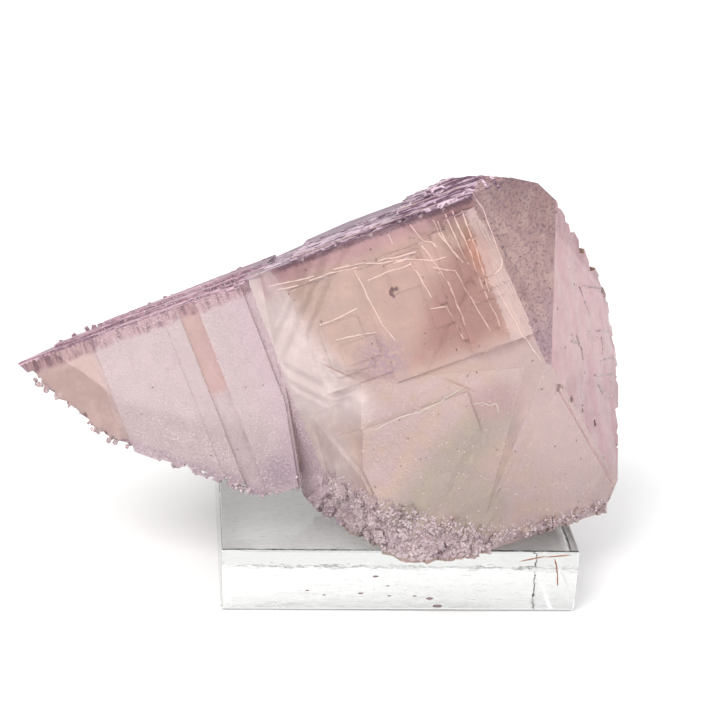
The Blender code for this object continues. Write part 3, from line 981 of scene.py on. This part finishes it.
def build_inclusion(crystal, look):
    """The one large dark inclusion on the upper front: an uneven, hooked grain."""
    centre = front_point(surface_tree(crystal), *INCLUSION, INCLUSION_SIZE * 0.1 * MM)
    draw = random.Random(INCLUSION_SEED)
    grain = bmesh.new()
    for step in range(INCLUSION_KNOBS):
        turn = math.radians(50 + 45 * step)
        arm = Vector((math.cos(turn), 0, math.sin(turn))) * INCLUSION_SIZE * 0.42
        radius = INCLUSION_SIZE * (0.3 - 0.035 * step)
        for vert in bmesh.ops.create_icosphere(grain, subdivisions=2, radius=radius)["verts"]:
            vert.co *= 1 + draw.uniform(-0.12, 0.12)
            vert.co.y *= 0.45
            vert.co += arm
    bmesh.ops.transform(grain, matrix=cube_axes().to_3x3().to_4x4() @ Matrix.Scale(MM, 4),
                        verts=grain.verts)
    bmesh.ops.translate(grain, verts=grain.verts, vec=centre)
    return placed("inclusion", plain_mesh("inclusion", grain, fleck_material(look, "inclusion")))


def cube_shape(node):
    return node("GeometryNodeMeshCube", None, Size=(1, 1, 1)).outputs["Mesh"]


def fleck_shape(node):
    ball = node("GeometryNodeMeshIcoSphere", None, Radius=0.5, Subdivisions=1)
    return node("GeometryNodeTransform", None, Geometry=ball.outputs["Mesh"],
                Scale=(1, 0.7, 0.25)).outputs[0]


def face_values(crystal):
    """The crystal's faces: their kinds, and their centres and normals."""
    mesh = crystal.data
    _, _, normals, centres = mesh_arrays(mesh)
    kinds = {name: np.empty(len(mesh.polygons), np.float32) for name in KINDS}
    for name, values in kinds.items():
        mesh.attributes[name].data.foreach_get("value", values)
    return kinds, normals, centres


def frosted_share(centres):
    """1 for each face centre that lies on a frosted panel of the plate, 0 for the others."""
    x = seen_from_heart(centres)[:, 0]
    smooth = (x < TIP_END) | ((x > BAND[0]) & (x < BAND[1]))
    return np.where(smooth, 0.0, 1.0)


def crust_share(kinds, normals, centres):
    """How thick the crust of small cubes is on each face: full at the foot, thin further up."""
    top = np.interp(centres[:, 0] / MM, *zip(*CRUST_TOP))
    height = centres[:, 2] / MM
    share = np.clip((top - height) / CRUST_FADE, 0, 1) * (1 - kinds["plate"])
    share *= (normals[:, 1] < 0.2) & (height > CRUST_FOOT)
    return share.astype(np.float32)


# ---------------- operators

class FLUORITE_OT_crystal(bpy.types.Operator):
    """Builds the refined crystal over its solid"""
    bl_idname = "fluorite.crystal"
    bl_label = "Crystal"

    def execute(self, context):
        crystal = build_crystal(context.scene.fluorite_crystal)
        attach(crystal, BODY)
        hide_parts("fluorite")
        return {"FINISHED"}


class FLUORITE_OT_grains(bpy.types.Operator):
    """Sets the small cubes of the crust and the dark flecks"""
    bl_idname = "fluorite.grains"
    bl_label = "Crust and flecks"

    def execute(self, context):
        look, colours = context.scene.fluorite_grains, context.scene.fluorite_crystal
        crystal = bpy.data.objects["fluorite_crystal"]
        kinds, normals, centres = face_values(crystal)
        fleck = kinds["upper_front"] + kinds["lower"] * 0.6 + kinds["bevel"] * 2.5
        fleck = fleck + kinds["plate"] * 0.3 + kinds["right"] * 0.5
        sparkle = kinds["lower"] * 0.1 + kinds["plate"] * frosted_share(centres)
        for grains in (
            scattered(crystal, "crust_cubes", crust_share(kinds, normals, centres), cube_shape,
                      cube_material(look), look.cube_density, look.cube_size, 0.3,
                      -0.1 * look.cube_size, seed=3),
            scattered(crystal, "dark_flecks", fleck, fleck_shape, fleck_material(look),
                      look.fleck_density, look.fleck_size, 0.3, -0.05 * MM, seed=8),
            scattered(crystal, "frost_grains", sparkle, cube_shape, frost_material(look),
                      look.sparkle_density, look.sparkle_size, 0.4, 0.0, seed=5),
            build_growth_lines(crystal, look, colours),
            build_top_ledges(crystal, look, colours),
            build_inclusion(crystal, look),
        ):
            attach(grains, BODY)
        return {"FINISHED"}


def build_base_marks(look):
    """Specks and rusty scratches on the front of the base, as one mesh."""
    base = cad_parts["acrylic_base"]
    front = min((base.matrix_world @ Vector(corner)).y for corner in base.bound_box)
    shape = bmesh.new()
    marks = [(x, z, width, width * 0.35, 0.0) for x, z, width in BASE_SPECKS]
    for x0, z0, x1, z1 in BASE_SCRATCHES:
        run, rise = x1 - x0, z1 - z0
        marks.append(((x0 + x1) / 2, (z0 + z1) / 2, math.hypot(run, rise), SCRATCH_WIDTH,
                      math.atan2(rise, run)))
    for x, z, wide, tall, slant in marks:
        made = bmesh.ops.create_icosphere(shape, subdivisions=2, radius=0.5 * MM)["verts"]
        bmesh.ops.scale(shape, verts=made, vec=(wide, MARK_DEPTH, tall))
        bmesh.ops.rotate(shape, verts=made, matrix=Matrix.Rotation(-slant, 3, "Y"))
        bmesh.ops.translate(shape, verts=made, vec=(x * MM, front, z * MM))
    return placed("base_marks", plain_mesh("base_marks", shape, marks_material(look)))


class FLUORITE_OT_base(bpy.types.Operator):
    """Finishes the acrylic base and sets the marks on it"""
    bl_idname = "fluorite.base"
    bl_label = "Acrylic base"

    def execute(self, context):
        look = context.scene.fluorite_base
        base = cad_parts["acrylic_base"]
        base.data.materials.clear()
        base.data.materials.append(acrylic_material(look))
        marks = build_base_marks(look)
        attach(marks, BODY)
        return {"FINISHED"}


def area_light(name, place, width, power, tint):
    """A square lamp that looks at the middle of the specimen."""
    lamp = bpy.data.lights.new(name, "AREA")
    lamp.size, lamp.energy, lamp.color = width, power, tint
    light = placed(name, lamp)
    light.location = place
    light.rotation_euler = (LIT_PLACE - light.location).to_track_quat("-Z", "Y").to_euler()


def swept_floor(look):
    """A floor that curves up into a backdrop."""
    start = FLOOR_REACH - FLOOR_BEND
    outline = [(-FLOOR_REACH, 0.0), (start, 0.0)]
    for step in range(1, BEND_STEPS + 1):
        angle = math.radians(90 * step / BEND_STEPS)
        outline.append((start + FLOOR_BEND * math.sin(angle), FLOOR_BEND * (1 - math.cos(angle))))
    outline.append((FLOOR_REACH, FLOOR_RISE + FLOOR_DROP))
    shape = bmesh.new()
    rows = [[shape.verts.new((side, y, z - FLOOR_DROP)) for side in (-FLOOR_SIDE, FLOOR_SIDE)]
            for y, z in outline]
    for (a, b), (c, d) in zip(rows, rows[1:]):
        shape.faces.new((a, b, d, c))
    mesh = plain_mesh("studio_floor", shape, floor_material(look))
    mesh.shade_smooth()
    return placed("studio_floor", mesh)


class FLUORITE_OT_studio(bpy.types.Operator):
    """Sets the floor, the backdrop, the lights and the camera"""
    bl_idname = "fluorite.studio"
    bl_label = "Studio"

    def execute(self, context):
        look = context.scene.fluorite_studio
        swept_floor(look)
        area_light("key", (-0.5, -0.55, 0.8), 0.7, look.key, (1, 0.98, 0.96))
        area_light("fill", (0.7, -0.3, 0.5), 0.6, look.fill, (0.96, 0.97, 1))
        world = bpy.data.worlds.new("soft_sky")
        world.use_nodes = True
        sky = world.node_tree.nodes["Background"]
        sky.inputs["Color"].default_value = (1, 1, 1, 1)
        sky.inputs["Strength"].default_value = look.sky
        context.scene.world = world
        context.scene.view_settings.view_transform = "Standard"

        lens = bpy.data.cameras.new("camera")
        lens.lens = CAMERA_LENS
        camera = placed("camera", lens)
        azimuth, elevation, roll = CAMERA_ANGLES
        aim = turned(azimuth, "Z") @ turned(90 - elevation, "X") @ turned(roll, "Z")
        camera.matrix_world = Matrix.Translation(CAMERA_PLACE) @ aim
        context.scene.camera = camera
        return {"FINISHED"}


class FLUORITE_PT_panel(bpy.types.Panel):
    """Lists the pieces and their settings"""
    bl_label = "Fluorite specimen"
    bl_idname = "FLUORITE_PT_panel"
    bl_space_type = "VIEW_3D"
    bl_region_type = "UI"
    bl_category = "Fluorite"

    def draw(self, context):
        for operator, name in STEPS:
            box = self.layout.box()
            box.operator(operator.bl_idname)
            look = getattr(context.scene, name)
            for setting in look.__annotations__:
                box.prop(look, setting)


STEPS = (
    (FLUORITE_OT_crystal, "fluorite_crystal"),
    (FLUORITE_OT_grains, "fluorite_grains"),
    (FLUORITE_OT_base, "fluorite_base"),
    (FLUORITE_OT_studio, "fluorite_studio"),
)
LOOKS = (CrystalLook, GrainLook, BaseLook, StudioLook)
CLASSES = (*LOOKS, *(operator for operator, _ in STEPS), FLUORITE_PT_panel)


def register():
    for made in CLASSES:
        bpy.utils.register_class(made)
    for look, (_, name) in zip(LOOKS, STEPS):
        setattr(bpy.types.Scene, name, bpy.props.PointerProperty(type=look))


def unregister():
    for _, name in STEPS:
        delattr(bpy.types.Scene, name)
    for made in reversed(CLASSES):
        bpy.utils.unregister_class(made)


def main():
    register()
    bpy.ops.fluorite.crystal()
    bpy.ops.fluorite.grains()
    bpy.ops.fluorite.base()
    bpy.ops.fluorite.studio()


if __name__ == "__main__":
    main()
